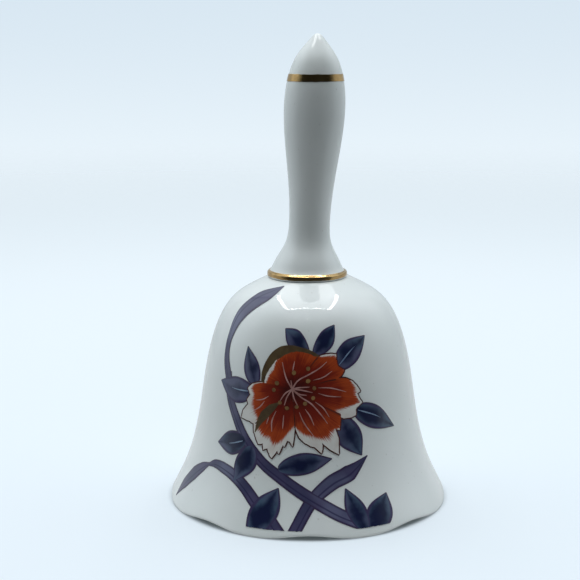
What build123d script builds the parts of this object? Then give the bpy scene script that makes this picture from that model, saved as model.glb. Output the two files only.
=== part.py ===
"""A porcelain hand bell: a slip-cast shell with a scalloped lip, a hollow slip-cast handle stuck on
its crown with a slight lean, two fired gilt bands, and a clapper hung inside on a short brass chain.

Frame: +Z up, +X to the right, -Y to the front. The origin is on the shell's axis, in the plane that
the lip's feet rest on. Lengths are in millimetres and angles in degrees."""

import os
from math import cos, pi, radians, sin

from build123d import *

os.makedirs("parts", exist_ok=True)
STANDING = (Align.CENTER, Align.CENTER, Align.MIN)

# Shell: heights go up from the resting plane, drops go down from the joint under the handle
shell_height = 61.8
shell_wall = 2.4
rim_radius = 38.8
rim_flare = (-0.46, 1)
flare_radius = 34.0
flare_height = 10.2
waist_radius = 29.9
waist_height = 26.2
shoulder_radius = 27.15
shoulder_drop = 19.6
crown_radius = 20.4
crown_drop = 5.5
crown_slope = (-1, 0.54)
joint_radius = 11.2
crown_hole_radius = 4.2

# Scalloped lip: shallow arches between flat feet
scallop_count = 8
scallop_height = 1.1
foot_length = 5.0
lip_rounding = 0.75

# Handle: heights go up its own axis from the joint, drops go down from its tip
handle_height = 65.4
handle_lean = 2.35
handle_shift = -0.3
handle_wall = 2.6
foot_radius = 10.85
foot_edge_height = 1.5
foot_ledge = 0.35
foot_flare = (-0.75, 1)
flare_out_radius = 8.6
flare_out_height = 4.7
ankle_radius = 6.35
ankle_height = 8.9
neck_radius = 5.55
neck_height = 15.0
stem_radius = 6.8
grip_radius = 8.25
grip_drop = 19.9
nose_start_radius = 7.45
nose_start_drop = 11.6
nose_radius = 5.5
nose_drop = 6.2
tip_rounding = 1.6
tip_angle = 38.0

# Gilding
gilt_thickness = 0.12
handle_band_width = 1.9

# Plaster plug that holds the hanger in the crown
plug_overlap = 1.4
plug_head_height = 2.4
plug_bulge = 0.8

# Brass wire: the hanger, the chain and the clapper's pin are bent from the same stock
wire_radius = 0.55
hanger_leg_spacing = 4.4
hanger_reach = 6.0
chain_link_count = 3
link_pitch = 5.0
link_inner_width = 2.2
link_clearance = 0.05

# Clapper
clapper_drop = 20.4
bead_radius = 6.0
bead_flat_radius = 1.75
pin_head_radius = 1.6
pin_head_thickness = 0.8

# Levels and sizes that follow from the values above
crown_underside = shell_height - shell_wall
hanger_level = crown_underside - hanger_reach
chain_levels = [hanger_level - link_pitch * k for k in range(chain_link_count + 1)]
clapper_level = chain_levels[-1]
bead_level = clapper_level - clapper_drop
plug_head_radius = crown_hole_radius + plug_overlap
wire_spacing = 2 * wire_radius + link_clearance
link_bend_radius = link_inner_width / 2 + wire_radius
scallop_pitch = 2 * pi * rim_radius / scallop_count
arch_length = scallop_pitch - foot_length
bead_flat_height = (bead_radius**2 - bead_flat_radius**2) ** 0.5

foot_sag = foot_radius * sin(radians(handle_lean))
tip_centre = handle_height - tip_rounding
tip_slope = (-sin(radians(tip_angle)), cos(radians(tip_angle)))
tip_start = (tip_rounding * tip_slope[1], tip_centre - tip_rounding * tip_slope[0])

# The handle leans towards +X, about a point on the joint a little to the left of the shell's axis
handle_base = Plane((handle_shift, 0, shell_height)).rotated((0, handle_lean, 0))
handle_axis = Axis(handle_base.origin, handle_base.z_dir)
handle_section = Plane(handle_base.origin, x_dir=handle_base.x_dir, z_dir=-handle_base.y_dir)


def finish(piece, name):
    """Labels a piece and writes it to its own file."""
    piece.label = name
    export_step(piece, f"parts/{name}.step")


def beside(curve, distance, spans=10):
    """Points that run beside a curve, at a distance to its left."""
    steps = [k / spans for k in range(spans + 1)]
    return [curve @ t + (curve % t).rotate(Axis.Z, 90) * distance for t in steps]


def chain_link(top_level, plane):
    """An oval wire link lying in the plane, hung on a wire whose centre is at the top level."""
    top = top_level + wire_spacing - link_bend_radius
    bottom = top_level - link_pitch + link_bend_radius
    with BuildPart(mode=Mode.PRIVATE) as link:
        with BuildLine(plane) as path:
            right = Line((link_bend_radius, bottom), (link_bend_radius, top))
            upper = CenterArc((0, top), link_bend_radius, 0, 180)
            Line(upper @ 1, (-link_bend_radius, bottom))
            CenterArc((0, bottom), link_bend_radius, 180, 180)
        with BuildSketch(Plane(path.line @ 0, z_dir=right % 0)):
            Circle(wire_radius)
        sweep(path=path.line)
    return link.part


# Shell: a wall of one thickness, turned about Z, then scalloped
with BuildPart() as shell:
    with BuildSketch(Plane.XZ):
        with BuildLine():
            outside = Spline(
                (rim_radius, 0),
                (flare_radius, flare_height),
                (waist_radius, waist_height),
                (shoulder_radius, shell_height - shoulder_drop),
                (crown_radius, shell_height - crown_drop),
                (joint_radius, shell_height),
                tangents=[rim_flare, crown_slope],
            )
            inside = Spline(
                *beside(outside, shell_wall)[:-1],
                (plug_head_radius, crown_underside),
                tangents=[outside % 0, (-1, 0)],
            )
            Polyline(outside @ 1, (0, shell_height), (0, crown_underside), inside @ 1)
            Line(outside @ 0, inside @ 0)
        make_face()
    revolve(axis=Axis.Z)
    split(bisect_by=Plane.XY, keep=Keep.TOP)
    with Locations((0, 0, crown_underside)):
        Cylinder(crown_hole_radius, shell_wall, align=STANDING, mode=Mode.SUBTRACT)

with BuildPart() as lip_arch:
    with BuildSketch(Plane.YZ):
        with BuildLine():
            rise = Spline(
                (-arch_length / 2, 0),
                (0, scallop_height),
                (arch_length / 2, 0),
                tangents=[(1, 0), (1, 0)],
            )
            Polyline(rise @ 0, (-arch_length / 2, -1), (arch_length / 2, -1), rise @ 1)
        make_face()
    extrude(amount=rim_radius + shell_wall)

with BuildPart() as bell_shell:
    add(shell.part)
    with PolarLocations(0, scallop_count):
        add(lip_arch.part, mode=Mode.SUBTRACT)
    underside = bell_shell.faces().filter_by(lambda f: f.center().Z < 2 * scallop_height)
    lip_edges = underside.filter_by(lambda f: f.normal_at().Z < -0.9).edges()
    fillet(lip_edges.filter_by(GeomType.LINE, reverse=True), radius=lip_rounding)
finish(bell_shell.part, "bell_shell")

# Handle: a level foot with the leaning stem above it, hollow down to the joint
with BuildLine() as handle_line:
    handle_side = Spline(
        (foot_radius - foot_ledge, foot_edge_height - foot_sag),
        (flare_out_radius, flare_out_height),
        (ankle_radius, ankle_height),
        (neck_radius, neck_height),
        (stem_radius, (neck_height + handle_height - grip_drop) / 2),
        (grip_radius, handle_height - grip_drop),
        (nose_start_radius, handle_height - nose_start_drop),
        (nose_radius, handle_height - nose_drop),
        tip_start,
        tangents=[foot_flare, tip_slope],
    )
foot_start = handle_side @ 0
run_on = Vector(0, -foot_radius)

with BuildPart() as handle:
    with BuildSketch(handle_section):
        with BuildLine():
            add(handle_side)
            CenterArc((0, tip_centre), tip_rounding, tip_angle, 90 - tip_angle)
            Polyline(foot_start, foot_start + run_on, run_on, (0, handle_height))
        make_face()
    revolve(axis=handle_axis)
    with Locations((0, 0, shell_height)):
        Cylinder(foot_radius, foot_edge_height, align=STANDING)
    with BuildSketch(handle_section):
        with BuildLine():
            hollow_side = Spline(
                *beside(handle_side, handle_wall)[:-1],
                (0, tip_centre - handle_wall),
                tangents=[foot_flare, (-1, 0)],
            )
            hollow_start = hollow_side @ 0
            Polyline(hollow_start, hollow_start + run_on, run_on, hollow_side @ 1)
        make_face()
    revolve(axis=handle_axis, mode=Mode.SUBTRACT)
    split(bisect_by=Plane.XY.offset(shell_height), keep=Keep.TOP)
finish(handle.part, "handle")

# Gilding: a ring round the nose of the handle and a ring round its foot's edge
with BuildPart() as handle_gilt_band:
    with BuildSketch(handle_section):
        with BuildLine():
            gilt_side = Spline(*beside(handle_side, -gilt_thickness))
            Polyline(gilt_side @ 0, (0, 0), (0, handle_height), gilt_side @ 1)
        make_face()
        with Locations((nose_start_radius, handle_height - nose_start_drop)):
            Rectangle(handle_wall, handle_band_width, mode=Mode.INTERSECT)
    revolve(axis=handle_axis)
    add(handle.part, mode=Mode.SUBTRACT)
finish(handle_gilt_band.part, "handle_gilt_band")

with BuildPart() as collar_gilt_band:
    with Locations((0, 0, shell_height)):
        Cylinder(foot_radius + gilt_thickness, foot_edge_height, align=STANDING)
        Cylinder(foot_radius, foot_edge_height, align=STANDING, mode=Mode.SUBTRACT)
finish(collar_gilt_band.part, "collar_gilt_band")

# Hanger: a hairpin of wire, its legs set in the plug
leg = hanger_leg_spacing / 2
leg_top = shell_height + plug_head_height / 2
with BuildPart() as clapper_hanger:
    with BuildLine(Plane.XZ) as hairpin:
        down = Line((-leg, leg_top), (-leg, hanger_level + leg))
        CenterArc((0, hanger_level + leg), leg, 180, 180)
        Line((leg, hanger_level + leg), (leg, leg_top))
    with BuildSketch(Plane(hairpin.line @ 0, z_dir=down % 0)):
        Circle(wire_radius)
    sweep(path=hairpin.line)
finish(clapper_hanger.part, "clapper_hanger")

# Plug: plaster pressed up through the crown's hole, with a head above and a shallow bulge below
with BuildPart() as crown_plug:
    with BuildSketch(Plane.XZ):
        with BuildLine():
            dome = ThreePointArc(
                (-plug_head_radius, shell_height),
                (0, shell_height + plug_head_height),
                (plug_head_radius, shell_height),
            )
            bulge = ThreePointArc(
                (-crown_hole_radius, crown_underside),
                (0, crown_underside - plug_bulge),
                (crown_hole_radius, crown_underside),
            )
            Polyline(dome @ 1, (crown_hole_radius, shell_height), bulge @ 1)
            Polyline(dome @ 0, (-crown_hole_radius, shell_height), bulge @ 0)
        make_face()
        split(bisect_by=Plane.YZ, keep=Keep.TOP)
    revolve(axis=Axis.Z)
    add(clapper_hanger.part, mode=Mode.SUBTRACT)
finish(crown_plug.part, "crown_plug")

# Chain: the links turn a quarter from one to the next
for k in range(chain_link_count):
    plane = Plane.YZ if k % 2 == 0 else Plane.XZ
    finish(chain_link(chain_levels[k], plane), f"chain_link_{k + 1}")

# Clapper's pin: an eye crossing the last link, a shank through the bead, a riveted head below it
eye_plane = Plane.XZ if chain_link_count % 2 else Plane.YZ
eye_level = clapper_level + wire_spacing - link_bend_radius
shank_bottom = bead_level - bead_flat_height
with BuildPart() as clapper_pin:
    with BuildLine(eye_plane) as eye:
        CenterArc((0, eye_level), link_bend_radius, 90, 360)
    with BuildSketch(Plane(eye.line @ 0, z_dir=eye.line % 0)):
        Circle(wire_radius)
    sweep(path=eye.line)
    with BuildSketch(Plane.XY.offset(shank_bottom)):
        Circle(wire_radius)
    extrude(amount=eye_level - link_bend_radius - shank_bottom)
    with BuildSketch(Plane.XY.offset(shank_bottom)):
        Circle(pin_head_radius)
    extrude(amount=-pin_head_thickness)
    rivet_rim = clapper_pin.faces().sort_by(Axis.Z)[0].edges()
    fillet(rivet_rim, radius=pin_head_thickness / 2)
finish(clapper_pin.part, "clapper_pin")

# Clapper's bead: a porcelain ball, flat where it meets the pin's head
with BuildPart() as clapper_bead:
    with Locations((0, 0, bead_level)):
        Sphere(bead_radius)
        Cylinder(bead_radius, 2 * bead_flat_height, mode=Mode.INTERSECT)
        Cylinder(wire_radius, 2 * bead_radius, mode=Mode.SUBTRACT)
finish(clapper_bead.part, "clapper_bead")
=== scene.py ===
import math
import random

import bpy
import numpy as np
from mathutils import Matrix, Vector


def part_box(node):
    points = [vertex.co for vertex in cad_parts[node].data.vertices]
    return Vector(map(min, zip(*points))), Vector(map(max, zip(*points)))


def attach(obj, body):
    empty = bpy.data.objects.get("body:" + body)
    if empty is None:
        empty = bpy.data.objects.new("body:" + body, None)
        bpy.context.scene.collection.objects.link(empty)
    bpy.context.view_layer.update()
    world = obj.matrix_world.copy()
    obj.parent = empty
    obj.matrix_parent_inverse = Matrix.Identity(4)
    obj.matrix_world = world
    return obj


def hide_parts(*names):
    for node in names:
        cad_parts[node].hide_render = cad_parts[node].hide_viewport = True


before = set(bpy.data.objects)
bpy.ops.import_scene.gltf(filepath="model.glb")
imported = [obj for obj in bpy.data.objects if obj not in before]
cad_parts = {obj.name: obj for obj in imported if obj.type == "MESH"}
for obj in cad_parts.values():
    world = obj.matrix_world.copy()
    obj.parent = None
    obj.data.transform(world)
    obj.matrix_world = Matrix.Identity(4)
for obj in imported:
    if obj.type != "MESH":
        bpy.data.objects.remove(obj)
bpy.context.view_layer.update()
mm = 0.001
print("frame loaded:", sorted(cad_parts))


# ---- working helpers ----

def deselectAll():
    if bpy.context.object and bpy.context.object.mode != "OBJECT":
        bpy.ops.object.mode_set(mode="OBJECT")
    bpy.ops.object.select_all(action="DESELECT")


def makeActive(piece):
    deselectAll()
    piece.select_set(True)
    bpy.context.view_layer.objects.active = piece


def applyModifiers(piece):
    makeActive(piece)
    for modifier in list(piece.modifiers):
        bpy.ops.object.modifier_apply(modifier=modifier.name)


def smoothStep(value, low, high):
    share = min(max((value - low) / (high - low), 0.0), 1.0)
    return share * share * (3 - 2 * share)


def joinPieces(pieces, name):
    deselectAll()
    for piece in pieces:
        piece.select_set(True)
    bpy.context.view_layer.objects.active = pieces[0]
    if len(pieces) > 1:
        bpy.ops.object.join()
    pieces[0].name = name
    return pieces[0]


# ---- shader sums: a socket that Python expressions can be written with ----

class Socket:
    def __init__(self, recipe, socket):
        self.recipe = recipe
        self.socket = socket

    def sum(self, operation, *values):
        return self.recipe.add("ShaderNodeMath", {"operation": operation}, dict(enumerate(values)))

    def __add__(self, other):
        return self.sum("ADD", self, other)

    def __sub__(self, other):
        return self.sum("SUBTRACT", self, other)

    def __rsub__(self, other):
        return self.sum("SUBTRACT", other, self)

    def __mul__(self, other):
        return self.sum("MULTIPLY", self, other)

    def __abs__(self):
        return self.sum("ABSOLUTE", self)

    __radd__ = __add__
    __rmul__ = __mul__

    def rise(self, low, high):  # 0 below low, 1 above high, smooth between
        settings = {"interpolation_type": "SMOOTHSTEP"}
        return self.recipe.add("ShaderNodeMapRange", settings, {"Value": self, "From Min": low, "From Max": high})


class Recipe:
    def __init__(self, tree):
        self.tree = tree
        tree.nodes.clear()

    def add(self, kind, settings=None, inputs=None, output=0):
        node = self.tree.nodes.new(kind)
        for key, value in (settings or {}).items():
            setattr(node, key, value)
        for key, value in (inputs or {}).items():
            if isinstance(value, Socket):
                self.tree.links.new(value.socket, node.inputs[key])
            else:
                node.inputs[key].default_value = value
        return Socket(self, node.outputs[output]) if len(node.outputs) else node

    def mix(self, share, first, second):  # colours
        node = self.add("ShaderNodeMix", {"data_type": "RGBA"}, {"Factor": share}, 2)
        for index, colour in ((6, first), (7, second)):
            target = node.socket.node.inputs[index]
            if isinstance(colour, Socket):
                self.tree.links.new(colour.socket, target)
            else:
                target.default_value = (*colour, 1)
        return node

    def noise(self, scale, detail, place=None):
        place = place or self.add("ShaderNodeTexCoord", output=3)
        return self.add("ShaderNodeTexNoise", None, {"Vector": place, "Scale": scale, "Detail": detail})

    def bump(self, height, distance, strength):
        inputs = {"Height": height, "Distance": distance, "Strength": strength}
        return self.add("ShaderNodeBump", None, inputs)


def newMaterial(name):
    material = bpy.data.materials.new(name)
    material.use_nodes = True
    return material, Recipe(material.node_tree)


def finishMaterial(recipe, **inputs):
    settings = {key.replace("_", " "): value for key, value in inputs.items()}
    shader = recipe.add("ShaderNodeBsdfPrincipled", None, settings)
    recipe.add("ShaderNodeOutputMaterial", None, {"Surface": shader})


def dress(piece, material):
    piece.data.materials.clear()
    piece.data.materials.append(material)


# ---- camera, floor and light ----

view = {
    "place": (-5.0 * mm, -360.0 * mm, 126.3 * mm),
    "tiltDown": 10.77,  # degrees
    "lens": 82.8,
}
cameraData = bpy.data.cameras.new("camera")
cameraData.lens = view["lens"]
cameraData.clip_start = 0.01
camera = bpy.data.objects.new("camera", cameraData)
camera.location = view["place"]
camera.rotation_euler = (math.radians(90 - view["tiltDown"]), 0, 0)
bpy.context.scene.collection.objects.link(camera)
bpy.context.scene.camera = camera
bpy.context.scene.view_settings.view_transform = "Standard"

studio = {
    "wallColour": (0.835, 0.945, 1.0),
    "wallStrength": 0.615,
    "ceilingFrom": 0.3,  # how far up a direction points before it gains light
    "ceilingTo": 0.95,
    "wallLean": 0.09,  # the left wall is the brighter
    "ceilingGain": 1.0,
    "roomColour": (0.86, 1.0, 0.98),
    "roomStrength": 0.025,
    "openFrom": 0.02,  # how squarely a direction faces the open front before it is dark
    "openTo": 0.52,
    "openTop": (0.74, 0.92),  # the open front ends below the ceiling
    "seamTurn": 2.5,  # radians from the front round to the tent's corner
    "seamWidth": 0.045,
    "seamDepth": 0.55,
    "windowTurn": (0.80, 0.25, 0.54),
    "windowEdge": (0.86, 0.97),
    "windowGain": 0.4,
    "seenHigh": (0.69, 0.80, 0.89),
    "seenLow": (0.86, 0.945, 1.0),
    "seenEdge": (-0.16, 0.05),
    "frameHeight": 560 * mm,
    "frameFrontHalf": 172 * mm,
    "frameBackHalf": 184 * mm,
    "frameFront": -48 * mm,
    "frameBack": 285 * mm,
    "panelBack": 330 * mm,
    "panelGap": 4 * mm,
    "stripWidth": 24 * mm,
    "stripPower": 0.31,
    "panelPower": 0.80,
    "dotCount": 11,
    "dotSize": 14 * mm,
    "dotSpread": 0.9,  # share of the frame's front
    "dotGap": 2 * mm,
    "dotPower": 0.018,
    "lampPower": 0.06,
    "lampSize": 17 * mm,
    "lampLift": 100 * mm,
    "lampTarget": 50 * mm,
    "lamps": ((-190 * mm, -330 * mm), (-17 * mm, -350 * mm)),
    "floorRadius": 3.0,
    "floorDrop": 0.05 * mm,
    "floorFade": (0.45, 1.3),  # metres from the bell
    "floorPaintedShadow": (36.6 * mm, 39.8 * mm),  # painted shadow: the floor's glow fades out under the lip
    # floorSpread, floorNear and floorFar: painted shade, the floor's glow is darker near the bell than far off
    "floorSpread": (40 * mm, 400 * mm),
    "floorFront": (60 * mm, 200 * mm),  # the lit paper ends a little way in front of the bell
    "floorDark": 0.05,
    "floorNear": (0.352, 0.388, 0.43),
    "floorFar": (0.40, 0.43, 0.46),
    "floorPaper": (0.42, 0.45, 0.47),
    "floorBounce": 0.56,
    "insideColour": (0.84, 0.94, 0.98),
    "insideGlow": 0.22,  # lights the clapper for a look from below
}


def makeWorld():
    world = bpy.data.worlds.new("lightTent")
    bpy.context.scene.world = world
    world.use_nodes = True
    recipe = Recipe(world.node_tree)
    direction = recipe.add("ShaderNodeTexCoord")
    across = recipe.add("ShaderNodeSeparateXYZ", None, {"Vector": direction})
    depth = Socket(recipe, across.socket.node.outputs[1])
    up = Socket(recipe, across.socket.node.outputs[2])
    openSide = (0 - depth).rise(studio["openFrom"], studio["openTo"])  # where the room is dark
    openSide = openSide * (1 - up.rise(*studio["openTop"]))
    ceiling = up.rise(studio["ceilingFrom"], studio["ceilingTo"]) * studio["ceilingGain"]
    walls = studio["wallStrength"] * (1 + ceiling) * (1 - across * studio["wallLean"])
    turn = abs(recipe.add("ShaderNodeMath", {"operation": "ARCTAN2"}, {0: across, 1: 0 - depth}))
    seam = 1 - abs(turn - studio["seamTurn"]).rise(0.0, studio["seamWidth"])
    wallX, wallY, wallZ = studio["windowTurn"]
    facing = abs(across) * wallX + depth * wallY + up * wallZ
    window = facing.rise(*studio["windowEdge"]) * studio["windowGain"]
    lit = walls * (1 - seam * studio["seamDepth"]) + window
    both = recipe.mix(openSide, studio["wallColour"], studio["roomColour"])
    strength = lit * (1 - openSide) + studio["roomStrength"] * openSide
    seenColour = recipe.mix(up.rise(*studio["seenEdge"]), studio["seenLow"], studio["seenHigh"])
    seen = recipe.add("ShaderNodeLightPath")
    tent = recipe.add("ShaderNodeBackground", None, {"Color": both, "Strength": strength})
    plain = recipe.add("ShaderNodeBackground", None, {"Color": seenColour, "Strength": 1.0})
    light = recipe.add("ShaderNodeMixShader", None, {0: seen, 1: tent, 2: plain})
    recipe.add("ShaderNodeOutputWorld", None, {"Surface": light})


def addAreaLight(name, place, size, power):
    data = bpy.data.lights.new(name, "AREA")
    data.shape = "RECTANGLE"
    data.size, data.size_y = size
    data.energy = power
    light = bpy.data.objects.new(name, data)
    light.location = place
    bpy.context.scene.collection.objects.link(light)
    return light


def aim(light, target):
    direction = Vector(target) - light.location
    light.rotation_euler = direction.to_track_quat("-Z", "Y").to_euler()


def makeLights():
    height = studio["frameHeight"]
    front, back = studio["frameFront"], studio["frameBack"]
    frontHalf, backHalf = studio["frameFrontHalf"], studio["frameBackHalf"]
    middle, half = (front + back) / 2, (frontHalf + backHalf) / 2
    length = back - front
    stripSize = (studio["stripWidth"], length)
    for side in (-1, 1):
        strip = addAreaLight(f"strip_{side}", (side * half, middle, height), stripSize, studio["stripPower"])
        strip.rotation_euler = (0, 0, side * math.atan2(frontHalf - backHalf, length))
    panelBack = studio["panelBack"]
    panelPlace = (0, (front + panelBack) / 2, height + studio["panelGap"])
    addAreaLight("panel", panelPlace, (2 * half, panelBack - front), studio["panelPower"])
    for step in range(studio["dotCount"]):
        across = frontHalf * studio["dotSpread"] * (2 * step / (studio["dotCount"] - 1) - 1)
        place = (across, front, height - studio["dotGap"])
        addAreaLight(f"dot_{step}", place, (studio["dotSize"],) * 2, studio["dotPower"])
    for number, (across, depth) in enumerate(studio["lamps"]):
        place = (across, depth, height + studio["lampLift"])
        lamp = addAreaLight(f"lamp_{number}", place, (studio["lampSize"],) * 2, studio["lampPower"])
        aim(lamp, (0, 0, studio["lampTarget"]))


def makeFloor():
    deselectAll()
    low = (0, 0, -studio["floorDrop"])
    bpy.ops.mesh.primitive_circle_add(vertices=96, radius=studio["floorRadius"], fill_type="NGON", location=low)
    floor = bpy.context.object
    floor.name = "studioFloor"
    material, recipe = newMaterial("paleFloor")
    place = recipe.add("ShaderNodeTexCoord", output=3)
    distance = recipe.add("ShaderNodeVectorMath", {"operation": "LENGTH"}, {0: place}, 1)
    across = recipe.add("ShaderNodeSeparateXYZ", None, {"Vector": place})
    depth = Socket(recipe, across.socket.node.outputs[1])
    # painted shadow: the camera-seen glow is taken away under the bell's lip, so the floor there is dark
    outsideShadow = distance.rise(*studio["floorPaintedShadow"])
    # painted shade: the floor's glow is darker near the bell than far off
    glow = recipe.mix(distance.rise(*studio["floorSpread"]), studio["floorNear"], studio["floorFar"])
    paper = recipe.add("ShaderNodeBsdfDiffuse", None, {"Color": (*studio["floorPaper"], 1)})
    lightened = recipe.add("ShaderNodeEmission", None, {"Color": glow, "Strength": outsideShadow})
    plain = recipe.add("ShaderNodeAddShader", None, {0: paper, 1: lightened})
    inTent = 1 - (0 - depth).rise(*studio["floorFront"])
    tone = recipe.mix(inTent, (studio["floorDark"],) * 3, (studio["floorBounce"],) * 3)
    matt = recipe.add("ShaderNodeBsdfDiffuse", None, {"Color": tone})
    insideGlow = (1 - outsideShadow) * studio["insideGlow"]
    inside = recipe.add("ShaderNodeEmission", None, {"Color": (*studio["insideColour"], 1), "Strength": insideGlow})
    bounce = recipe.add("ShaderNodeAddShader", None, {0: matt, 1: inside})
    seen = recipe.add("ShaderNodeLightPath")
    surface = recipe.add("ShaderNodeMixShader", None, {0: seen, 1: bounce, 2: plain})
    clear = recipe.add("ShaderNodeBsdfTransparent")
    under = recipe.add("ShaderNodeNewGeometry", output=6)  # seen from below, the floor is clear
    gone = 1 - (1 - distance.rise(*studio["floorFade"])) * (1 - under)
    both = recipe.add("ShaderNodeMixShader", None, {0: gone, 1: surface, 2: clear})
    recipe.add("ShaderNodeOutputMaterial", None, {"Surface": both})
    dress(floor, material)


makeWorld()
makeLights()
makeFloor()
print("studio ready")


# ---- materials ----

def makePorcelain():
    material, recipe = newMaterial("glazedPorcelain")
    cloud = recipe.noise(55, 3)
    speck = recipe.noise(900, 1).rise(0.74, 0.8) * 0.35
    clay = recipe.mix(cloud.rise(0.3, 0.7), (0.80, 0.825, 0.815), (0.84, 0.855, 0.85))
    colour = recipe.mix(speck, clay, (0.42, 0.40, 0.36))
    waves = recipe.noise(42, 2)
    finishMaterial(recipe, Base_Color=colour, Roughness=0.4, Specular_IOR_Level=0.12, Coat_Weight=1.0,
                   Coat_Roughness=0.012, Normal=recipe.bump(waves, 0.3 * mm, 0.5))
    return material


def makeGilding():
    material, recipe = newMaterial("gilding")
    cloud = recipe.noise(260, 3)
    colour = recipe.mix(cloud.rise(0.3, 0.75), (0.66, 0.43, 0.19), (0.36, 0.22, 0.09))
    grain = recipe.noise(1400, 2)
    finishMaterial(recipe, Base_Color=colour, Metallic=1.0, Roughness=cloud * 0.2 + 0.04,
                   Normal=recipe.bump(grain, 0.08 * mm, 0.5))
    return material


def makeBrass():
    material, recipe = newMaterial("brassWire")
    cloud = recipe.noise(420, 3)
    colour = recipe.mix(cloud.rise(0.35, 0.7), (0.72, 0.52, 0.22), (0.34, 0.23, 0.10))
    finishMaterial(recipe, Base_Color=colour, Metallic=1.0, Roughness=cloud * 0.3 + 0.2,
                   Normal=recipe.bump(recipe.noise(2600, 2), 0.04 * mm, 0.5))
    return material


def makePlaster():
    material, recipe = newMaterial("plaster")
    cloud = recipe.noise(600, 4)
    colour = recipe.mix(cloud.rise(0.3, 0.7), (0.78, 0.76, 0.70), (0.62, 0.59, 0.53))
    finishMaterial(recipe, Base_Color=colour, Roughness=0.85, Normal=recipe.bump(recipe.noise(1500, 4), 0.2 * mm, 0.8))
    return material


porcelain = makePorcelain()
gilding = makeGilding()
brass = makeBrass()
plaster = makePlaster()
print("materials ready")


# ---- outlines read from the frame ----

# a turned wall's heights and radii; facing 1 is outside, -1 inside
def outlineOf(node, base, axis, facing, lowest, highest):
    rows = {}
    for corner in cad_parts[node].data.vertices:
        offset = corner.co - base
        height = offset.dot(axis)
        radial = offset - axis * height
        if not lowest < height < highest or corner.normal.dot(radial.normalized()) * facing < 0.12:
            continue
        row = rows.setdefault(round(height / (0.4 * mm)), [])
        row.append((radial.length, height))
    farthest = [max(row, key=lambda pair: pair[0] * facing) for row in rows.values()]
    pairs = sorted((height, radius) for radius, height in farthest)
    return np.array([height for height, _ in pairs]), np.array([radius for _, radius in pairs])


def evenly(heights, radii, spacing):  # the same line with points an even step apart
    steps = np.hypot(np.diff(heights), np.diff(radii))
    along = np.concatenate([[0], np.cumsum(steps)])
    places = np.linspace(0, along[-1], max(2, round(along[-1] / spacing) + 1))
    return list(zip(np.interp(places, along, radii), np.interp(places, along, heights)))


# ---- turned walls ----

def turnWall(name, rings, columns=96):  # rings of (centre, radius, tilt in degrees), joined one after another
    deselectAll()
    centre, radius, tilt = rings[0]
    bpy.ops.mesh.primitive_circle_add(vertices=columns, radius=radius, location=centre)
    piece = bpy.context.object
    piece.name = name
    bpy.ops.object.transform_apply(location=True)
    bpy.ops.object.mode_set(mode="EDIT")
    bpy.ops.mesh.select_all(action="SELECT")
    for nextCentre, nextRadius, nextTilt in rings[1:]:
        step = Vector(nextCentre) - Vector(centre)
        bpy.ops.mesh.extrude_edges_move(TRANSFORM_OT_translate={"value": step})
        share = nextRadius / radius
        if nextTilt != tilt:
            turn = math.radians(tilt - nextTilt)
            bpy.ops.transform.rotate(value=turn, orient_axis="Y", center_override=nextCentre)
        bpy.ops.transform.resize(value=(share, share, share), center_override=nextCentre)
        centre, radius, tilt = nextCentre, nextRadius, nextTilt
    bpy.ops.mesh.select_all(action="DESELECT")
    bpy.ops.object.mode_set(mode="OBJECT")
    return piece


def selectWhere(piece, test):  # picks vertices by place, and leaves the piece in edit mode
    makeActive(piece)
    bpy.ops.object.mode_set(mode="EDIT")
    bpy.ops.mesh.select_mode(type="VERT")
    bpy.ops.mesh.select_all(action="DESELECT")
    bpy.ops.object.mode_set(mode="OBJECT")
    for corner in piece.data.vertices:
        corner.select = bool(test(corner.co))
    bpy.ops.object.mode_set(mode="EDIT")


def finishWall(piece, levels, angle=35):
    makeActive(piece)
    bpy.ops.object.mode_set(mode="EDIT")
    bpy.ops.mesh.select_all(action="SELECT")
    bpy.ops.mesh.remove_doubles(threshold=0.005 * mm)
    bpy.ops.mesh.normals_make_consistent(inside=False)
    bpy.ops.object.mode_set(mode="OBJECT")
    if levels:
        smoother = piece.modifiers.new("smoother", "SUBSURF")
        smoother.levels = smoother.render_levels = levels
        applyModifiers(piece)
    makeActive(piece)
    bpy.ops.object.shade_smooth_by_angle(angle=math.radians(angle))


# ---- the shell ----

shell = {
    "ringSpacing": 1.35 * mm,
    "lipRounding": 0.75 * mm,
    "scallops": 8,
    "scallopHeight": 1.1 * mm,
    "scallopReach": 12.7 * mm,
    "scallopPick": (1.2 * mm, 1.0 * mm),  # how high and how far aside the pulled corners are
    "flare": 0.46,  # how far the wall comes in for each mm that it rises, at the lip
    "holeRadius": 4.2 * mm,
    "holeRounding": 0.3 * mm,
    "joinRadius": 11.2 * mm,
    "crownRadii": (8.4 * mm, 5.6 * mm),  # rings under the handle's foot
}
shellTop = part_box("bell_shell")[1][2]
upright = Vector((0, 0, 1))
shellHeights, shellRadii = outlineOf("bell_shell", Vector(), upright, 1, 2.5 * mm, shellTop - 0.05 * mm)
innerHeights, innerRadii = outlineOf("bell_shell", Vector(), upright, -1, 2.5 * mm, shellTop - 2.5 * mm)


def downToFloor(heights, radii):  # the lip's straight flare, run on down to the resting plane
    slope = (radii[4] - radii[0]) / (heights[4] - heights[0])
    return np.concatenate([[0], heights]), np.concatenate([[radii[0] - slope * heights[0]], radii])


shellHeights, shellRadii = downToFloor(shellHeights, shellRadii)
innerHeights, innerRadii = downToFloor(innerHeights, innerRadii)


def shellRadius(height):
    return float(np.interp(height, shellHeights, shellRadii))


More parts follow.
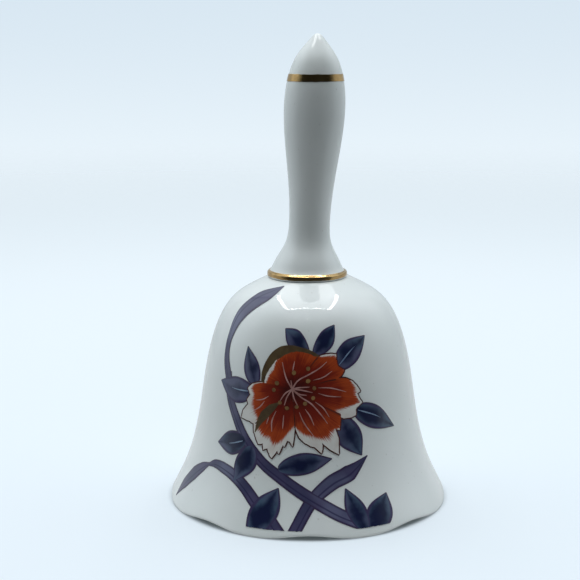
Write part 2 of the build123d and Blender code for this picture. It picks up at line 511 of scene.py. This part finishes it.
def makeShell():
    top = shell["joinRadius"], shellTop
    outer = evenly(shellHeights, shellRadii, shell["ringSpacing"]) + [top]
    inner = evenly(innerHeights, innerRadii, shell["ringSpacing"] * 1.25)
    under = inner[-1][1]
    hole = shell["holeRadius"]
    rounding = shell["holeRounding"]
    crown = [(radius, shellTop) for radius in (*shell["crownRadii"], hole + rounding)]
    crown += [(hole, shellTop - rounding), (hole, under + 0.5 * mm), (hole, under + 0.1 * mm), (hole + 0.2 * mm, under)]
    profile = outer + crown + inner[::-1]
    piece = turnWall("bellShell", [((0, 0, height), radius, 0) for radius, height in profile])
    selectWhere(piece, lambda co: co.z < 0.01 * mm)
    bpy.ops.mesh.bridge_edge_loops()
    bpy.ops.object.mode_set(mode="OBJECT")
    selectWhere(piece, lambda co: co.z < 0.01 * mm)
    bpy.ops.mesh.select_mode(type="EDGE")
    bpy.ops.mesh.region_to_loop()
    bpy.ops.mesh.bevel(offset=shell["lipRounding"], segments=4, profile=0.5, affect="EDGES")
    bpy.ops.object.mode_set(mode="OBJECT")
    for number in range(shell["scallops"]):
        angle = 2 * math.pi * number / shell["scallops"]
        out = Vector((math.cos(angle), math.sin(angle), 0))
        side = Vector((-out.y, out.x, 0))
        high, aside = shell["scallopPick"]
        selectWhere(piece, lambda co: co.z < high and co.dot(out) > 0 and abs(co.dot(side)) < aside)
        rise = shell["scallopHeight"]
        move = upright * rise - out * rise * shell["flare"]
        bpy.ops.transform.translate(value=move, use_proportional_edit=True, proportional_edit_falloff="SMOOTH",
                                    proportional_size=shell["scallopReach"])
        bpy.ops.object.mode_set(mode="OBJECT")
    finishWall(piece, 1)
    dress(piece, porcelain)
    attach(piece, "bell")
    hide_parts("bell_shell")
    return piece


bellShell = makeShell()
print("shell made", len(bellShell.data.polygons))


# ---- the handle ----

handle = {
    "lean": 2.35,  # degrees, towards +X
    "shift": -0.3 * mm,
    "ringSpacing": 1.1 * mm,
    "footRadius": 10.85 * mm,
    "footEdge": 1.5 * mm,
    "hollowFoot": 5.9 * mm,
    "hollowWidest": 8.0 * mm,
    "leanFrom": 1.0 * mm,  # the foot is level, and the stem leans fully from leanTo up
    "leanTo": 4.5 * mm,
}
handleBase = Vector((handle["shift"], 0, shellTop))
leanRadians = math.radians(handle["lean"])
handleAxis = Vector((math.sin(leanRadians), 0, math.cos(leanRadians)))
handleHeight = max((corner.co - handleBase).dot(handleAxis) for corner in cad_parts["handle"].data.vertices)
outsideTop, hollowTop = handleHeight - 0.02 * mm, handleHeight - 3.5 * mm
handleHeights, handleRadii = outlineOf("handle", handleBase, handleAxis, 1, 2.4 * mm, outsideTop)
hollowHeights, hollowRadii = outlineOf("handle", handleBase, handleAxis, -1, 1.0 * mm, hollowTop)


def handleRadius(height):
    return float(np.interp(height, handleHeights, handleRadii))


def leaningRing(radius, height, share=1.0):
    lean = leanRadians * share
    centre = handleBase + Vector((math.sin(lean), 0, math.cos(lean))) * height
    return centre, radius, handle["lean"] * share


def makeHandle():
    foot, edge, hollowFoot = handle["footRadius"], handle["footEdge"], handle["hollowFoot"]
    rings = [leaningRing(radius, 0, 0) for radius in (hollowFoot, 9.6 * mm, foot - 0.15 * mm)]
    rings += [leaningRing(foot, 0.15 * mm, 0), leaningRing(foot, 0.75 * mm, 0), leaningRing(foot, edge - 0.3 * mm, 0)]
    rings += [leaningRing(foot - 0.06 * mm, edge - 0.08 * mm, 0), leaningRing(foot - 0.3 * mm, edge + 0.02 * mm, 0.1)]
    rings += [leaningRing(foot - 0.62 * mm, edge + 0.16 * mm, 0.35)]
    outer = evenly(handleHeights, handleRadii, handle["ringSpacing"])
    for radius, height in outer:
        rings.append(leaningRing(radius, height, smoothStep(height, handle["leanFrom"], handle["leanTo"])))
    rings += [leaningRing(0.35 * mm, handleHeight)]
    piece = turnWall("bellHandle", rings, 80)
    hollow = evenly(hollowHeights, hollowRadii, handle["ringSpacing"] * 1.6)
    inner = [leaningRing(hollowFoot, 0, 0)]
    inner += [leaningRing(min(radius, handle["hollowWidest"]), height) for radius, height in hollow]
    inner += [leaningRing(0.5 * mm, hollow[-1][1] + 0.5 * mm)]
    liner = turnWall("handleHollow", inner, 80)
    for wall in (piece, liner):
        top = max(corner.co.z for corner in wall.data.vertices)
        selectWhere(wall, lambda co: co.z > top - 0.12 * mm)
        bpy.ops.mesh.merge(type="CENTER")
        bpy.ops.object.mode_set(mode="OBJECT")
    piece = joinPieces([piece, liner], "bellHandle")
    finishWall(piece, 1)
    dress(piece, porcelain)
    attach(piece, "bell")
    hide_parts("handle")
    return piece


bellHandle = makeHandle()
print("handle made", len(bellHandle.data.polygons))


# ---- gilt bands ----

gilt = {
    "lift": 0.05 * mm,
    "thickness": 0.06 * mm,
    "handleBandDrop": 11.6 * mm,
    "handleBandWidth": 1.9 * mm,
    "footBandFrom": 0.42 * mm,
    "footBandTo": 1.32 * mm,
    # (inward, up) over the ledge
    "footBandLedge": ((0.12 * mm, 0.02 * mm), (0.34 * mm, 0.08 * mm), (0.46 * mm, 0.24 * mm), (0.6 * mm, 0.42 * mm)),
    "wobble": 0.22 * mm,
    "wobbleLength": 3.5 * mm,
}


def paintBand(piece, ground, node):  # an uneven brushed ring that clings to the glaze
    texture = bpy.data.textures.new(piece.name + "Wobble", "CLOUDS")
    texture.noise_scale = gilt["wobbleLength"]
    brush = piece.modifiers.new("brush", "DISPLACE")
    brush.texture = texture
    brush.texture_coords = "LOCAL"
    brush.direction = "Z"
    brush.mid_level = 0.5
    brush.strength = gilt["wobble"]
    cling = piece.modifiers.new("cling", "SHRINKWRAP")
    cling.target = ground
    cling.wrap_method = "NEAREST_SURFACEPOINT"
    cling.wrap_mode = "ABOVE_SURFACE"
    cling.offset = gilt["lift"]
    film = piece.modifiers.new("film", "SOLIDIFY")
    film.thickness = gilt["thickness"]
    film.offset = 0
    applyModifiers(piece)
    finishWall(piece, 0, 60)
    dress(piece, gilding)
    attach(piece, "bell")
    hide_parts(node)


def makeBands():
    middle = handleHeight - gilt["handleBandDrop"]
    half = gilt["handleBandWidth"] / 2
    places = np.linspace(middle - half, middle + half, 7)
    rings = [leaningRing(handleRadius(place) + gilt["lift"], place) for place in places]
    upper = turnWall("handleGiltBand", rings, 144)
    paintBand(upper, bellHandle, "handle_gilt_band")
    rows = np.linspace(gilt["footBandFrom"], gilt["footBandTo"], 6)
    foot, edge = handle["footRadius"], handle["footEdge"]
    rings = [leaningRing(foot + gilt["lift"], row, 0) for row in rows]
    rings += [leaningRing(foot - inward, edge + rise, 0) for inward, rise in gilt["footBandLedge"]]
    lower = turnWall("footGiltBand", rings, 160)
    paintBand(lower, bellHandle, "collar_gilt_band")


makeBands()
print("gilding made")


# ---- enamel painting, on a sheet that wraps the shell: degrees round from the front, mm up ----

painting = {
    "roundTurn": 0.4887,  # mm of sheet for each degree round the shell
    "film": 0.03 * mm,
    "outline": 0.14,  # widths in mm
    "ink": 0.32,
    "lowest": 2.35,  # the print is trimmed straight at its foot
    "joined": 0.002 * mm,  # film corners this close become one
    "lifts": {  # mm off the glaze, so that each layer lies on the ones under it
        "stemEdge": 0.05, "leafEdge": 0.06, "stem": 0.07, "leaf": 0.09, "ink": 0.11, "vein": 0.12, "gold": 0.12,
        "petal": 0.125, "nextPetal": 0.012, "crease": 0.215, "strip": 0.225, "line": 0.235, "anther": 0.25,
    },
}


def onShell(across, up, lift):
    angle = math.radians(across / painting["roundTurn"])
    height = up * mm
    radius = shellRadius(height)
    slope = (shellRadius(height + 0.5 * mm) - shellRadius(height - 0.5 * mm)) / mm
    tall = math.hypot(1, slope)
    out = radius + lift * mm / tall
    return Vector((out * math.sin(angle), -out * math.cos(angle), height - lift * mm * slope / tall))


def toSheet(points):  # (degrees round, mm up) to places on the flat sheet
    return [np.array((angle * painting["roundTurn"], up), float) for angle, up in points]


def smoothLine(points, shares):  # a smooth line through the points
    points = [np.array(point, float) for point in points]
    points = [2 * points[0] - points[1]] + points + [2 * points[-1] - points[-2]]
    spans = len(points) - 3
    line = []
    for share in shares:
        place = min(share * spans, spans - 1e-9)
        start = int(place)
        t = place - start
        a, b, c, d = points[start:start + 4]
        bent, twisted = 2 * a - 5 * b + 4 * c - d, 3 * b - a - 3 * c + d
        line.append(0.5 * (2 * b + (c - a) * t + bent * t * t + twisted * t ** 3))
    return np.array(line)


def layFilm(name, left, right, columns, lift, tones=None):  # a film between two lines of sheet places
    deselectAll()
    rows = len(left) - 1
    bpy.ops.mesh.primitive_grid_add(x_subdivisions=columns, y_subdivisions=rows, size=1)
    piece = bpy.context.object
    piece.name = name
    for corner in piece.data.vertices:
        row = int(round((corner.co.y + 0.5) * rows))
        share = corner.co.x + 0.5
        across, up = left[row] * (1 - share) + right[row] * share
        corner.co = onShell(across, up, lift)
    if tones is not None:
        layer = piece.data.uv_layers[0].data
        for loop in piece.data.loops:
            layer[loop.index].uv.x = tones(layer[loop.index].uv)
    return piece


def strokeLines(points, widths, rows, grow=0.0):  # both edges of a brush stroke
    line = smoothLine(points, np.linspace(0, 1, rows + 1))
    ahead = np.gradient(line, axis=0)
    ahead /= np.linalg.norm(ahead, axis=1)[:, None]
    sideways = np.stack([-ahead[:, 1], ahead[:, 0]], axis=1)
    half = np.interp(np.linspace(0, 1, rows + 1), np.linspace(0, 1, len(widths)), widths) / 2 + grow
    line[0] -= ahead[0] * grow
    line[-1] += ahead[-1] * grow
    return line + sideways * half[:, None], line - sideways * half[:, None]


def leafLines(base, tip, leftHalf, rightHalf, widest, grow=0.0, rows=44):  # both edges of a leaf
    length = np.linalg.norm(tip - base)
    ahead = (tip - base) / length
    aside = np.array((-ahead[1], ahead[0]))
    power = math.log(0.5) / math.log(widest)
    shares = np.linspace(0, 1, rows + 1)
    swell = np.sin(math.pi * shares ** power) ** np.where(shares < widest, 0.6, 1.05)
    middle = (base - ahead * grow)[None] + ahead[None] * (length + 2.4 * grow) * shares[:, None]
    fullness = np.where(swell > 0, grow, 0)
    left = middle + aside * (swell * leftHalf + fullness)[:, None]
    right = middle - aside * (swell * rightHalf + fullness)[:, None]
    return left, right


def strokeFilm(points, widths, lift, rows=60, columns=6, grow=0.0):
    left, right = strokeLines(points, widths, rows, grow)
    return layFilm("stroke", left, right, columns, lift)


def finishFilm(pieces, name, material):
    piece = joinPieces(pieces, name)
    bpy.ops.object.mode_set(mode="EDIT")
    bpy.ops.mesh.select_all(action="SELECT")
    bpy.ops.mesh.bisect(plane_co=(0, 0, painting["lowest"] * mm), plane_no=(0, 0, -1), clear_outer=True)
    bpy.ops.mesh.select_all(action="SELECT")
    bpy.ops.mesh.remove_doubles(threshold=painting["joined"])
    bpy.ops.object.mode_set(mode="OBJECT")
    film = piece.modifiers.new("film", "SOLIDIFY")
    film.thickness = painting["film"]
    film.offset = -1
    applyModifiers(piece)
    bpy.ops.object.shade_smooth_by_angle(angle=math.radians(40))
    dress(piece, material)
    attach(piece, "bell")


stems = {  # (degrees round, mm up) and widths in mm
    "main": ([(-49.5, 39.2), (-46, 33.2), (-40, 28), (-33, 23), (-23, 18), (-13, 14.5), (-3, 11), (6, 8),
        (13.5, 5.5), (23, 3), (30, 1.6)],
             (2.2, 2.2, 2.3, 2.4, 2.5, 2.6, 2.7, 2.8, 2.8, 2.8, 2.6)),
    "low": ([(-54.5, 14.1), (-50, 14.9), (-44.5, 14.7), (-37, 13.5), (-30, 11.2), (-23.9, 8.2), (-17, 4.8),
        (-12.2, 1.6)], (0.6, 1.9, 2.5, 2.7, 2.6, 2.6, 2.6, 2.5)),
    "ribbon": ([(-74.5, 2.5), (-71, 6.4), (-65, 10.2), (-59, 12.8), (-54.5, 14.2)], (0.0, 2.9, 3.4, 2.2, 0.6)),
    "cross": ([(-6.6, 1.4), (-1.2, 7.4), (3.2, 10.5), (10.5, 13.6), (18.8, 15.6), (28.7, 19.2)],
        (2.2, 2.5, 2.8, 3.5, 3.8, 0.0)),
}
longLeaf = {  # both edges of the long curling leaf over the flower
    "outer": [(-30.5, 61), (-44.5, 60.1), (-52, 59.2), (-55.5, 57.4), (-58, 55), (-58.2, 52.5), (-57.6, 49.5),
        (-57, 46), (-55, 41.8), (-50.5, 37)],
    "inner": [(-30.5, 61), (-34.5, 58.4), (-39.7, 56.7), (-45, 54.8), (-49, 52.6), (-51.5, 50.2), (-52.8, 47.4),
        (-52.4, 44.6), (-50.6, 42), (-46.4, 38.2)],
}
# base, tip, half widths to the left and right in mm, widest share, length of the pale vein as a share (0 for none)
leaves = [
    ((-29.5, 37.5), (-37.8, 46.6), 2.4, 2.3, 0.42, 0),
    ((-30.5, 35.6), (-54.6, 36.6), 4.0, 2.5, 0.45, 0.62),
    ((-33, 22.8), (-50.5, 20.6), 3.3, 2.7, 0.46, 0.6),
    ((-29, 21.6), (-36.5, 12), 3.1, 2.3, 0.42, 0),
    ((-23, -0.8), (-14, 11.9), 3.5, 2.4, 0.55, 0),
    ((-14.6, 16.5), (10.3, 19.4), 3.0, 2.2, 0.46, 0),
    ((22.5, 1.2), (16.2, 11.7), 1.9, 2.3, 0.48, 0),
    ((25.2, 0.2), (35.5, 9.2), 3.1, 2.7, 0.52, 0),
    ((-0.2, 46.2), (-14.8, 51.9), 2.3, 2.3, 0.56, 0),
    ((2.2, 45.8), (16, 52.7), 2.0, 2.4, 0.52, 0),
    ((14.5, 42.2), (35.3, 49.5), 3.4, 2.4, 0.44, 0.66),
    ((23.5, 31.6), (47.9, 25.2), 3.2, 2.7, 0.42, 0.62),
    ((16.5, 30), (25.7, 19.7), 2.7, 3.6, 0.48, 0),
]
flower = {
    "hub": (-9, 37.2),
    "petals": [  # direction from the hub in degrees, reach in mm, and how far its red wash reaches
        [(176, 7.6, 7.2), (160, 7.8, 7.1), (138, 8.0, 7.0), (126, 8.4, 8.3), (110, 8.5, 9.2), (94, 9.1, 9.8),
            (77, 9.6, 10.4), (56, 10.0, 10.8), (44, 11, 11.8)],
        [(51, 10.4, 11.2), (46, 11.9, 11.4), (42, 13, 12.4), (36, 14.6, 14.2), (32, 13.8, 14.8), (25, 13.3, 14.3),
            (18, 14.5, 15), (14, 13.3, 14.3), (10, 11, 12)],
        [(13, 11.4, 12.4), (10, 14.2, 15.2), (5, 16, 16), (0, 17.2, 16.6), (-4, 18, 16.9), (-6, 17, 16.8),
            (-11, 18, 17.9), (-13, 18.7, 18.2), (-17, 17.5, 16.2), (-20, 17.3, 14.8),
         (-24, 17.8, 13.2), (-27, 16.8, 12.6), (-31, 15, 12.4)],
        [(-28, 13.8, 14.8), (-32, 14.3, 15.2), (-38, 15.2, 15.8), (-42, 15.9, 15.7), (-44, 14.9, 15.2),
            (-48, 17, 15), (-54, 19.3, 15.5), (-56, 20.2, 15.3), (-59, 18.2, 15), (-61.5, 15.6, 14.5),
         (-63.5, 16.8, 14), (-66, 17.8, 13.4), (-69, 15.8, 12.9), (-72, 15.2, 12.5), (-77, 13.8, 11.6),
             (-81, 12.4, 10.6), (-84, 10.2, 9.8)],
        [(-85, 9.8, 9.6), (-87, 12.6, 9.8), (-88.5, 14.6, 10), (-91, 13.5, 10.6), (-94, 13.2, 11.4),
            (-96, 15, 12.2), (-97.5, 14.4, 12.8), (-99.5, 17, 13.6), (-101.5, 16.2, 14.2), (-104, 18.6, 14.8),
         (-107, 17.6, 15.1), (-110, 16.6, 14.6), (-112.5, 17.4, 14), (-115.5, 16, 14.2), (-118.5, 16.9, 14.4),
             (-124, 15.9, 14.2), (-130, 14.9, 13.8), (-136, 13.4, 13)],
        [(-132, 13.4, 12.6), (-140, 14.4, 12), (-147, 16, 11.8), (-153, 14.6, 11.7), (-157, 12.7, 11.6),
            (-162, 12.8, 11), (-168, 11.5, 10.6), (-176, 12.2, 11.2), (-182, 11, 10.6), (-188, 8.2, 8)],
    ],
    "gold": [(-176, 7.6), (172, 8.5), (156, 9.3), (138, 10.1), (124, 10.8), (110, 11.1), (94, 10.9), (79, 10.6),
        (63, 10.8), (50, 11)],
    "creases": [[(12, 6.5), (12.5, 9), (11.5, 11.5)], [(-30, 9), (-29, 11.5), (-29.5, 14)], [(-84.5, 6), (-84, 8),
        (-85, 10)], [(52, 7), (51, 8.8), (50, 10.4)], [(-133, 5), (-131, 9), (-134, 13.4)]],
    "strip": ([(-15.5, 33.6), (-20.5, 31.6), (-25.2, 28.6), (-27.8, 25.3)], (0.3, 1.9, 2.3, 1.3, 0.2)),
    "stamens": [
        [(-12.5, 40), (-15, 43.8)], [(-9.8, 39.4)], [(-6, 39.4), (0, 41), (5.5, 42.5), (9.5, 44)], [(-5.5, 37.6),
            (0, 37.8)], [(-4.2, 37), (1.6, 36.4)],
        [(-5.4, 36), (-1.4, 35.7)], [(-12.6, 36), (-15.2, 34)], [(-11.5, 35.2), (-12.8, 33)], [(-8, 35), (-6, 33)],
            [(-4.3, 35.2), (1, 33.5), (6, 30.6), (9, 28.4)],
    ],
    "veins": [
        [(-9, 41.8), (-8.2, 44.2)], [(2, 39.5), (7.3, 40.2), (12.4, 41.7)], [(4.6, 37.6), (11.4, 37.4),
            (19.4, 36.2)], [(4.5, 36.2), (9.8, 35.4), (16.6, 35)],
        [(3, 34), (7, 32.4), (10, 30)], [(-2.2, 32.2), (0.4, 30.3), (2.3, 28)], [(-5.2, 31.4), (-2.6, 28.6),
            (2.5, 25)], [(-13, 30.5), (-13.3, 27)],
        [(-17, 31.4), (-19, 28.7), (-18.8, 26)], [(-20.8, 29.6), (-21.8, 27.8)], [(-21.4, 35), (-24.7, 34),
            (-28.6, 33.6)], [(-23.5, 33.6), (-26, 32), (-29.4, 30.8)],
    ],
    "anthers": [(-17.3, 38.5), (-18.8, 36.7), (-0.7, 42.4), (-0.7, 39.3), (-8.3, 41.3), (2.5, 37.5), (1.9, 35),
        (-2.2, 33.6), (-6.5, 32.7), (-11.4, 32.3), (-15.2, 33.6)],
}


def sheetParts(recipe):  # the sheet's own map, and how far across and along a stroke
    sheet = recipe.add("ShaderNodeUVMap", {"uv_map": "UVMap"})
    across = recipe.add("ShaderNodeSeparateXYZ", None, {"Vector": sheet})
    return sheet, across, Socket(recipe, across.socket.node.outputs[1])


def finishEnamel(recipe, colour):
    finishMaterial(recipe, Base_Color=colour, Roughness=0.4, Specular_IOR_Level=0.12, Coat_Weight=1.0,
                   Coat_Roughness=0.02)


def makeLeafEnamel():
    material, recipe = newMaterial("leafEnamel")
    _, across, along = sheetParts(recipe)
    side = abs(across - 0.5) * 2
    cloud = recipe.noise(230, 3)
    patch = recipe.noise(95, 1)
    fromHeart = side * 0.55 + abs(along - 0.4) * 0.8 + (cloud - 0.5) * 1.0 + (patch - 0.5) * 1.6
    heart = 1 - fromHeart.rise(0.15, 0.75)
    wash = recipe.mix(patch.rise(0.4, 0.6), (0.066, 0.112, 0.180), (0.088, 0.094, 0.175))
    leafColour = recipe.mix(heart, wash, (0.006, 0.010, 0.046))
    edge = (side + (cloud - 0.5) * 0.4).rise(0.74, 0.95) * 0.85
    finishEnamel(recipe, recipe.mix(edge, leafColour, (0.052, 0.032, 0.095)))
    return material


def makeStemEnamel():
    material, recipe = newMaterial("stemEnamel")
    _, across, _ = sheetParts(recipe)
    cloud = recipe.noise(200, 3)
    line = 1 - abs(across - 0.62).rise(0.03, 0.09)
    side = (abs(across - 0.5) * 2).rise(0.66, 0.98)
    patch = recipe.noise(75, 2)
    body = recipe.mix(cloud.rise(0.3, 0.7), (0.078, 0.066, 0.145), (0.048, 0.050, 0.112))
    body = recipe.mix(patch.rise(0.52, 0.7) * 0.6, body, (0.16, 0.17, 0.28))
    dark = recipe.mix(line * 0.7, body, (0.022, 0.018, 0.065))
    finishEnamel(recipe, recipe.mix(side * 0.8, dark, (0.035, 0.018, 0.055)))
    return material


def makePetalEnamel():
    material, recipe = newMaterial("petalEnamel")
    sheet, across, along = sheetParts(recipe)
    place = recipe.add("ShaderNodeTexCoord", output=3)
    stretch = recipe.add("ShaderNodeMapping", None, {"Vector": sheet, "Scale": (2.4, 60.0, 1.0)})
    streaks = recipe.noise(1.0, 3, stretch)
    cloud = recipe.noise(300, 3, place)
    wash = across + (streaks - 0.5) * 0.6
    deep = recipe.mix(wash.rise(0.08, 0.5), (0.060, 0.006, 0.005), (0.205, 0.016, 0.007))
    bright = recipe.mix((wash + (cloud - 0.5) * 0.5).rise(0.45, 0.85), deep, (0.44, 0.064, 0.014))
    sides = (abs(along - 0.5) * 2).rise(0.72, 1.0) * (1 - across.rise(0.6, 0.9)) * 0.5
    bright = recipe.mix(sides, bright, (0.10, 0.010, 0.006))
    fringe = (across + (streaks - 0.5) * 0.24).rise(0.81, 0.885)
    pale = recipe.mix(cloud.rise(0.35, 0.7), (0.80, 0.77, 0.74), (0.72, 0.66, 0.62))
    finishEnamel(recipe, recipe.mix(fringe, bright, pale))
    return material


def makePlainEnamel(name, colour, other, metallic=0.0):
    material, recipe = newMaterial(name)
    cloud = recipe.noise(500, 3)
    mixed = recipe.mix(cloud.rise(0.3, 0.7), colour, other)
    finishMaterial(recipe, Base_Color=mixed, Roughness=0.3, Metallic=metallic, Coat_Weight=1.0,
                   Coat_Roughness=0.03)
    return material


enamels = {
    "leaf": makeLeafEnamel(),
    "stem": makeStemEnamel(),
    "petal": makePetalEnamel(),
    "ink": makePlainEnamel("inkEnamel", (0.058, 0.008, 0.008), (0.085, 0.015, 0.012)),
    "edge": makePlainEnamel("edgeEnamel", (0.045, 0.022, 0.065), (0.06, 0.035, 0.09)),
    "gold": makePlainEnamel("goldWash", (0.135, 0.088, 0.040), (0.085, 0.052, 0.026), 0.2),
    "anther": makePlainEnamel("antherEnamel", (0.30, 0.17, 0.06), (0.16, 0.08, 0.035)),
    "stamen": makePlainEnamel("stamenEnamel", (0.56, 0.31, 0.29), (0.38, 0.18, 0.16)),
    "vein": makePlainEnamel("veinEnamel", (0.26, 0.36, 0.50), (0.15, 0.22, 0.36)),
}


def paintLeaves():
    outline, lifts = painting["outline"], painting["lifts"]
    stemFilms, edgeFilms, leafFilms, veinFilms = [], [], [], []
    for points, widths in stems.values():
        rows = 16 * len(points)
        stemFilms.append(strokeFilm(toSheet(points), widths, lifts["stem"], rows))
        edgeFilms.append(strokeFilm(toSheet(points), widths, lifts["stemEdge"], rows, grow=outline))
    shares = np.linspace(0, 1, 121)
    outer, inner = (smoothLine(toSheet(longLeaf[edge]), shares) for edge in ("outer", "inner"))
    middle = (outer + inner) / 2
    aside = (outer - middle) / np.maximum(np.linalg.norm(outer - middle, axis=1), 0.01)[:, None]
    stemFilms.append(layFilm("stroke", inner, outer, 8, lifts["stem"]))
    edgeFilms.append(layFilm("stroke", inner - aside * outline, outer + aside * outline, 4, lifts["stemEdge"]))
    for base, tip, leftHalf, rightHalf, widest, vein in leaves:
        base, tip = toSheet([base, tip])
        shape = base, tip, leftHalf, rightHalf, widest
        leafFilms.append(layFilm("leaf", *leafLines(*shape), 14, lifts["leaf"]))
        edgeFilms.append(layFilm("leafEdge", *leafLines(*shape, outline), 4, lifts["leafEdge"]))
        if vein:
            bow = np.array((tip - base)[::-1]) * (-1, 1) * 0.05 * np.sign(leftHalf - rightHalf)
            line = smoothLine([base, (base + tip) / 2 + bow, tip], np.linspace(0.08, vein, 8))
            veinFilms.append(strokeFilm(list(line), (0.12, 0.32, 0.34, 0.28, 0.2, 0.0), lifts["vein"], 24, 2))
    finishFilm(stemFilms, "enamelStems", enamels["stem"])
    finishFilm(leafFilms, "enamelLeaves", enamels["leaf"])
    finishFilm(edgeFilms, "enamelEdges", enamels["edge"])
    finishFilm(veinFilms, "enamelVeins", enamels["vein"])


def polarLine(rows, finer=4):  # rows of (direction, reach ...) made finer
    fine = np.linspace(0, len(rows) - 1, (len(rows) - 1) * finer + 1)
    table = np.array(rows, float)
    directions = np.radians(np.interp(fine, range(len(rows)), table[:, 0]))
    outward = np.stack([np.cos(directions), np.sin(directions)], axis=1)
    reaches = [np.interp(fine, range(len(rows)), table[:, column]) for column in range(1, table.shape[1])]
    return outward, reaches


def paintFlower():
    random.seed(7)
    lifts = painting["lifts"]
    hub = toSheet([flower["hub"]])[0]
    petalFilms, inkFilms = [], []
    for number, rows in enumerate(flower["petals"]):
        outward, (reach, red) = polarLine(rows)
        reach = reach + np.array([random.uniform(-0.1, 0.1) for _ in reach])
        rim = hub + outward * reach[:, None]
        centre = np.repeat(hub[None], len(rim), axis=0)

        def redness(uv, reach=reach, red=red):  # below 0.85 inside the red wash, above it in the bare fringe
            row = uv.y * (len(reach) - 1)
            full = float(np.interp(row, range(len(reach)), reach))
            wash = float(np.interp(row, range(len(reach)), red))
            length = uv.x * full
            if length < wash:
                return 0.85 * length / wash
            return 0.85 + 0.15 * (length - wash) / max(full - wash, 0.05)

        lift = lifts["petal"] + lifts["nextPetal"] * number
        petalFilms.append(layFilm("petal", centre, rim, 26, lift, redness))
        ahead = np.gradient(rim, axis=0)
        normal = np.stack([ahead[:, 1], -ahead[:, 0]], axis=1)
        normal *= np.sign(np.sum(normal * outward, axis=1))[:, None]
        normal /= np.maximum(np.linalg.norm(normal, axis=1), 0.001)[:, None]
        ink = rim + normal * painting["ink"]
        ink[0] += (rim[0] - rim[1]) / np.linalg.norm(rim[0] - rim[1]) * painting["ink"]
        ink[-1] += (rim[-1] - rim[-2]) / np.linalg.norm(rim[-1] - rim[-2]) * painting["ink"]
        inkFilms.append(layFilm("ink", centre + (ink - centre) * 0.3, ink, 12, lifts["ink"]))
    finishFilm(petalFilms, "enamelPetals", enamels["petal"])
    for crease in flower["creases"]:
        turns, lengths = np.radians([turn for turn, _ in crease]), [length for _, length in crease]
        points = list(hub + np.stack([np.cos(turns), np.sin(turns)], axis=1) * np.array(lengths)[:, None])
        inkFilms.append(strokeFilm(points, (0.0, 0.16, 0.24, 0.3), lifts["crease"], 20, 2))
    finishFilm(inkFilms, "enamelInk", enamels["ink"])
    outward, (reach,) = polarLine([((angle + 360) % 360, length) for angle, length in flower["gold"]], 6)
    rim = hub + outward * reach[:, None]
    goldFilms = [layFilm("gold", hub + outward * reach[:, None] * 0.4, rim, 8, lifts["gold"])]
    points, widths = flower["strip"]
    goldFilms.append(strokeFilm(toSheet(points), widths, lifts["strip"], 30))
    finishFilm(goldFilms, "enamelGoldWash", enamels["gold"])
    lift = lifts["line"]
    stamenWidths, veinWidths = (0.42, 0.34, 0.36, 0.3, 0.16), (0.1, 0.26, 0.32, 0.26, 0.1)
    lineFilms = [strokeFilm([hub] + toSheet(points), stamenWidths, lift, 24, 2) for points in flower["stamens"]]
    lineFilms += [strokeFilm(toSheet(points), veinWidths, lift, 24, 2) for points in flower["veins"]]
    finishFilm(lineFilms, "enamelStamens", enamels["stamen"])
    antherFilms = []
    for spot in toSheet(flower["anthers"]):
        away = (spot - hub) / np.linalg.norm(spot - hub)
        size = random.uniform(0.5, 0.66)
        points = [spot - away * size, spot, spot + away * size]
        antherFilms.append(strokeFilm(points, (0.0, 0.8, 1.05, 1.1, 1.0, 0.75, 0.0), lifts["anther"], 12, 4))
    finishFilm(antherFilms, "enamelAnthers", enamels["anther"])


paintLeaves()
paintFlower()
print("painting made")


# ---- fittings kept from the frame ----

fittings = {
    "crown_plug": plaster,
    "clapper_hanger": brass,
    "chain_link_1": brass,
    "chain_link_2": brass,
    "chain_link_3": brass,
    "clapper_pin": brass,
    "clapper_bead": porcelain,
}
for node, material in fittings.items():
    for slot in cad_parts[node].material_slots:
        slot.material = material
